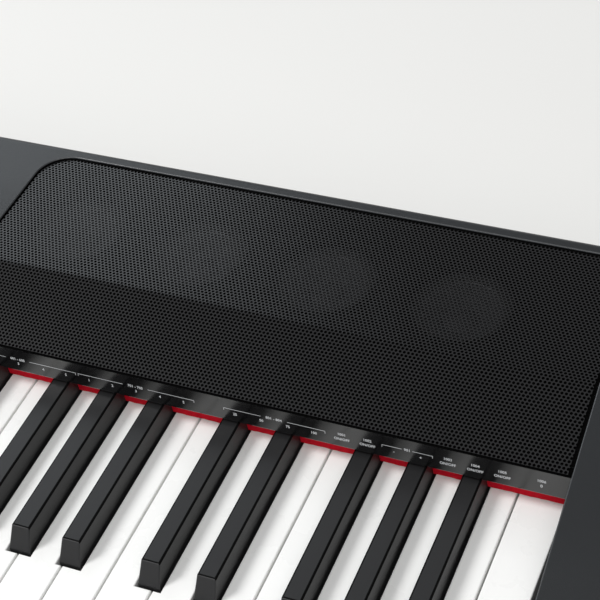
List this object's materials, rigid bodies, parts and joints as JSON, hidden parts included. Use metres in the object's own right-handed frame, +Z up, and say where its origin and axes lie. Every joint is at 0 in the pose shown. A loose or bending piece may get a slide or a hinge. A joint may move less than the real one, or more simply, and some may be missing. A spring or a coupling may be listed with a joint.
{
  "type": "digital piano",
  "caption": "Slab digital piano with sprung hinged keys, hexagonally perforated speaker grilles, a gloss function strip with red felt, a control panel and rear sockets.",
  "frame": {"origin": "on the table, under the middle of the case's length and depth", "axes": "+X along the keys towards the treble, +Y towards the back, +Z up"},
  "size_m": [1.3092, 0.314, 0.1307],
  "materials": {
    "case_top_plastic": "satin",
    "case_base_plastic": "matte",
    "gloss_strip": "gloss",
    "red_felt": "felt",
    "grille_sheet": "satin black",
    "speaker_cone": "matte",
    "panel_plastic": "satin gloss",
    "display_glass": "gloss",
    "circuit_board": "matte",
    "chassis_plastic": "matte",
    "pivot_steel": "ground",
    "grey_felt": "felt",
    "contact_rubber": "matte",
    "foot_rubber": "matte",
    "white_key_plastic": "gloss",
    "black_key_plastic": "satin",
    "knob_plastic": "satin",
    "button_plastic": "satin"
  },
  "bodies": {
    "piano_case": {"top_case": "case_top_plastic", "bottom_case": "case_base_plastic", "front_rail": "case_base_plastic", "function_strip": "gloss_strip", "felt_strip": "red_felt", "left_grille": "grille_sheet", "right_grille": "grille_sheet", "left_speaker_1": "speaker_cone", "left_speaker_2": "speaker_cone", "left_speaker_3": "speaker_cone", "left_speaker_4": "speaker_cone", "right_speaker_1": "speaker_cone", "right_speaker_2": "speaker_cone", "right_speaker_3": "speaker_cone", "right_speaker_4": "speaker_cone", "control_panel": "panel_plastic", "display_window": "display_glass", "main_board": "circuit_board", "jack_board": "circuit_board", "key_chassis": "chassis_plastic", "pivot_rail": "pivot_steel", "stop_felt": "grey_felt", "contact_board": "circuit_board", "contact_strip": "contact_rubber", "foot_front_left": "foot_rubber", "foot_back_left": "foot_rubber", "foot_front_right": "foot_rubber", "foot_back_right": "foot_rubber"},
    "white_keys_low": {"white_keys_low": "white_key_plastic"},
    "black_keys_low": {"black_keys_low": "black_key_plastic"},
    "white_keys_mid": {"white_keys_mid": "white_key_plastic"},
    "black_keys_mid": {"black_keys_mid": "black_key_plastic"},
    "white_keys_high": {"white_keys_high": "white_key_plastic"},
    "black_keys_high": {"black_keys_high": "black_key_plastic"},
    "white_key_E6": {"white_key_E6": "white_key_plastic"},
    "white_key_F6": {"white_key_F6": "white_key_plastic"},
    "black_key_F6_sharp": {"black_key_F6_sharp": "black_key_plastic"},
    "white_key_G6": {"white_key_G6": "white_key_plastic"},
    "black_key_G6_sharp": {"black_key_G6_sharp": "black_key_plastic"},
    "white_key_A6": {"white_key_A6": "white_key_plastic"},
    "black_key_A6_sharp": {"black_key_A6_sharp": "black_key_plastic"},
    "white_key_B6": {"white_key_B6": "white_key_plastic"},
    "white_key_C7": {"white_key_C7": "white_key_plastic"},
    "black_key_C7_sharp": {"black_key_C7_sharp": "black_key_plastic"},
    "white_key_D7": {"white_key_D7": "white_key_plastic"},
    "black_key_D7_sharp": {"black_key_D7_sharp": "black_key_plastic"},
    "white_key_E7": {"white_key_E7": "white_key_plastic"},
    "white_key_F7": {"white_key_F7": "white_key_plastic"},
    "black_key_F7_sharp": {"black_key_F7_sharp": "black_key_plastic"},
    "white_key_G7": {"white_key_G7": "white_key_plastic"},
    "black_key_G7_sharp": {"black_key_G7_sharp": "black_key_plastic"},
    "white_key_A7": {"white_key_A7": "white_key_plastic"},
    "black_key_A7_sharp": {"black_key_A7_sharp": "black_key_plastic"},
    "white_key_B7": {"white_key_B7": "white_key_plastic"},
    "white_key_C8": {"white_key_C8": "white_key_plastic"},
    "volume_knob": {"volume_knob": "knob_plastic"},
    "power_button": {"power_button": "button_plastic"},
    "minus_button": {"minus_button": "button_plastic"},
    "plus_button": {"plus_button": "button_plastic"},
    "function_button": {"function_button": "button_plastic"}
  },
  "joints": [
    {"name": "white_keys_low_hinge", "type": "hinge", "parent": "piano_case", "child": "white_keys_low", "pos_m": [-0.4248, 0.093, 0.0542], "axis": [1, 0, 0], "range_deg": [0, 2.54], "stiffness_Nm_per_rad": 8, "springref_deg": -20.05},
    {"name": "black_keys_low_hinge", "type": "hinge", "parent": "piano_case", "child": "black_keys_low", "pos_m": [-0.42143, 0.093, 0.0542], "axis": [1, 0, 0], "range_deg": [0, 2.54], "stiffness_Nm_per_rad": 5.5, "springref_deg": -20.05},
    {"name": "white_keys_mid_hinge", "type": "hinge", "parent": "piano_case", "child": "white_keys_mid", "pos_m": [-0.0708, 0.093, 0.0542], "axis": [1, 0, 0], "range_deg": [0, 2.54], "stiffness_Nm_per_rad": 7, "springref_deg": -20.05},
    {"name": "black_keys_mid_hinge", "type": "hinge", "parent": "piano_case", "child": "black_keys_mid", "pos_m": [-0.07029, 0.093, 0.0542], "axis": [1, 0, 0], "range_deg": [0, 2.54], "stiffness_Nm_per_rad": 5, "springref_deg": -20.05},
    {"name": "white_keys_high_hinge", "type": "hinge", "parent": "piano_case", "child": "white_keys_high", "pos_m": [0.2006, 0.093, 0.0542], "axis": [1, 0, 0], "range_deg": [0, 2.54], "stiffness_Nm_per_rad": 4.5, "springref_deg": -20.05},
    {"name": "black_keys_high_hinge", "type": "hinge", "parent": "piano_case", "child": "black_keys_high", "pos_m": [0.2124, 0.093, 0.0542], "axis": [1, 0, 0], "range_deg": [0, 2.54], "stiffness_Nm_per_rad": 3.5, "springref_deg": -20.05},
    {"name": "white_key_E6_hinge", "type": "hinge", "parent": "piano_case", "child": "white_key_E6", "pos_m": [0.3186, 0.093, 0.0542], "axis": [1, 0, 0], "range_deg": [0, 2.54], "stiffness_Nm_per_rad": 0.5, "springref_deg": -20.05},
    {"name": "white_key_F6_hinge", "type": "hinge", "parent": "piano_case", "child": "white_key_F6", "pos_m": [0.3422, 0.093, 0.0542], "axis": [1, 0, 0], "range_deg": [0, 2.54], "stiffness_Nm_per_rad": 0.5, "springref_deg": -20.05},
    {"name": "black_key_F6_sharp_hinge", "type": "hinge", "parent": "piano_case", "child": "black_key_F6_sharp", "pos_m": [0.35063, 0.093, 0.0542], "axis": [1, 0, 0], "range_deg": [0, 2.54], "stiffness_Nm_per_rad": 0.5, "springref_deg": -20.05},
    {"name": "white_key_G6_hinge", "type": "hinge", "parent": "piano_case", "child": "white_key_G6", "pos_m": [0.3658, 0.093, 0.0542], "axis": [1, 0, 0], "range_deg": [0, 2.54], "stiffness_Nm_per_rad": 0.5, "springref_deg": -20.05},
    {"name": "black_key_G6_sharp_hinge", "type": "hinge", "parent": "piano_case", "child": "black_key_G6_sharp", "pos_m": [0.3776, 0.093, 0.0542], "axis": [1, 0, 0], "range_deg": [0, 2.54], "stiffness_Nm_per_rad": 0.5, "springref_deg": -20.05},
    {"name": "white_key_A6_hinge", "type": "hinge", "parent": "piano_case", "child": "white_key_A6", "pos_m": [0.3894, 0.093, 0.0542], "axis": [1, 0, 0], "range_deg": [0, 2.54], "stiffness_Nm_per_rad": 0.5, "springref_deg": -20.05},
    {"name": "black_key_A6_sharp_hinge", "type": "hinge", "parent": "piano_case", "child": "black_key_A6_sharp", "pos_m": [0.40457, 0.093, 0.0542], "axis": [1, 0, 0], "range_deg": [0, 2.54], "stiffness_Nm_per_rad": 0.5, "springref_deg": -20.05},
    {"name": "white_key_B6_hinge", "type": "hinge", "parent": "piano_case", "child": "white_key_B6", "pos_m": [0.413, 0.093, 0.0542], "axis": [1, 0, 0], "range_deg": [0, 2.54], "stiffness_Nm_per_rad": 0.5, "springref_deg": -20.05},
    {"name": "white_key_C7_hinge", "type": "hinge", "parent": "piano_case", "child": "white_key_C7", "pos_m": [0.4366, 0.093, 0.0542], "axis": [1, 0, 0], "range_deg": [0, 2.54], "stiffness_Nm_per_rad": 0.5, "springref_deg": -20.05},
    {"name": "black_key_C7_sharp_hinge", "type": "hinge", "parent": "piano_case", "child": "black_key_C7_sharp", "pos_m": [0.44604, 0.093, 0.0542], "axis": [1, 0, 0], "range_deg": [0, 2.54], "stiffness_Nm_per_rad": 0.5, "springref_deg": -20.05},
    {"name": "white_key_D7_hinge", "type": "hinge", "parent": "piano_case", "child": "white_key_D7", "pos_m": [0.4602, 0.093, 0.0542], "axis": [1, 0, 0], "range_deg": [0, 2.54], "stiffness_Nm_per_rad": 0.5, "springref_deg": -20.05},
    {"name": "black_key_D7_sharp_hinge", "type": "hinge", "parent": "piano_case", "child": "black_key_D7_sharp", "pos_m": [0.47436, 0.093, 0.0542], "axis": [1, 0, 0], "range_deg": [0, 2.54], "stiffness_Nm_per_rad": 0.5, "springref_deg": -20.05},
    {"name": "white_key_E7_hinge", "type": "hinge", "parent": "piano_case", "child": "white_key_E7", "pos_m": [0.4838, 0.093, 0.0542], "axis": [1, 0, 0], "range_deg": [0, 2.54], "stiffness_Nm_per_rad": 0.5, "springref_deg": -20.05},
    {"name": "white_key_F7_hinge", "type": "hinge", "parent": "piano_case", "child": "white_key_F7", "pos_m": [0.5074, 0.093, 0.0542], "axis": [1, 0, 0], "range_deg": [0, 2.54], "stiffness_Nm_per_rad": 0.5, "springref_deg": -20.05},
    {"name": "black_key_F7_sharp_hinge", "type": "hinge", "parent": "piano_case", "child": "black_key_F7_sharp", "pos_m": [0.51583, 0.093, 0.0542], "axis": [1, 0, 0], "range_deg": [0, 2.54], "stiffness_Nm_per_rad": 0.5, "springref_deg": -20.05},
    {"name": "white_key_G7_hinge", "type": "hinge", "parent": "piano_case", "child": "white_key_G7", "pos_m": [0.531, 0.093, 0.0542], "axis": [1, 0, 0], "range_deg": [0, 2.54], "stiffness_Nm_per_rad": 0.5, "springref_deg": -20.05},
    {"name": "black_key_G7_sharp_hinge", "type": "hinge", "parent": "piano_case", "child": "black_key_G7_sharp", "pos_m": [0.5428, 0.093, 0.0542], "axis": [1, 0, 0], "range_deg": [0, 2.54], "stiffness_Nm_per_rad": 0.5, "springref_deg": -20.05},
    {"name": "white_key_A7_hinge", "type": "hinge", "parent": "piano_case", "child": "white_key_A7", "pos_m": [0.5546, 0.093, 0.0542], "axis": [1, 0, 0], "range_deg": [0, 2.54], "stiffness_Nm_per_rad": 0.5, "springref_deg": -20.05},
    {"name": "black_key_A7_sharp_hinge", "type": "hinge", "parent": "piano_case", "child": "black_key_A7_sharp", "pos_m": [0.56977, 0.093, 0.0542], "axis": [1, 0, 0], "range_deg": [0, 2.54], "stiffness_Nm_per_rad": 0.5, "springref_deg": -20.05},
    {"name": "white_key_B7_hinge", "type": "hinge", "parent": "piano_case", "child": "white_key_B7", "pos_m": [0.5782, 0.093, 0.0542], "axis": [1, 0, 0], "range_deg": [0, 2.54], "stiffness_Nm_per_rad": 0.5, "springref_deg": -20.05},
    {"name": "white_key_C8_hinge", "type": "hinge", "parent": "piano_case", "child": "white_key_C8", "pos_m": [0.6018, 0.093, 0.0542], "axis": [1, 0, 0], "range_deg": [0, 2.54], "stiffness_Nm_per_rad": 0.5, "springref_deg": -20.05},
    {"name": "volume_knob_turn", "type": "hinge", "parent": "piano_case", "child": "volume_knob", "pos_m": [-0.092, 0.106, 0.1161], "axis": [0, 0, -1], "range_deg": [-140, 140]},
    {"name": "power_button_push", "type": "slide", "parent": "piano_case", "child": "power_button", "axis": [0, 0, -1], "range_m": [0, 0.0015], "stiffness_N_per_m": 600, "springref_m": -0.001},
    {"name": "minus_button_push", "type": "slide", "parent": "piano_case", "child": "minus_button", "axis": [0, 0, -1], "range_m": [0, 0.0015], "stiffness_N_per_m": 600, "springref_m": -0.001},
    {"name": "plus_button_push", "type": "slide", "parent": "piano_case", "child": "plus_button", "axis": [0, 0, -1], "range_m": [0, 0.0015], "stiffness_N_per_m": 600, "springref_m": -0.001},
    {"name": "function_button_push", "type": "slide", "parent": "piano_case", "child": "function_button", "axis": [0, 0, -1], "range_m": [0, 0.0015], "stiffness_N_per_m": 600, "springref_m": -0.001}
  ]
}
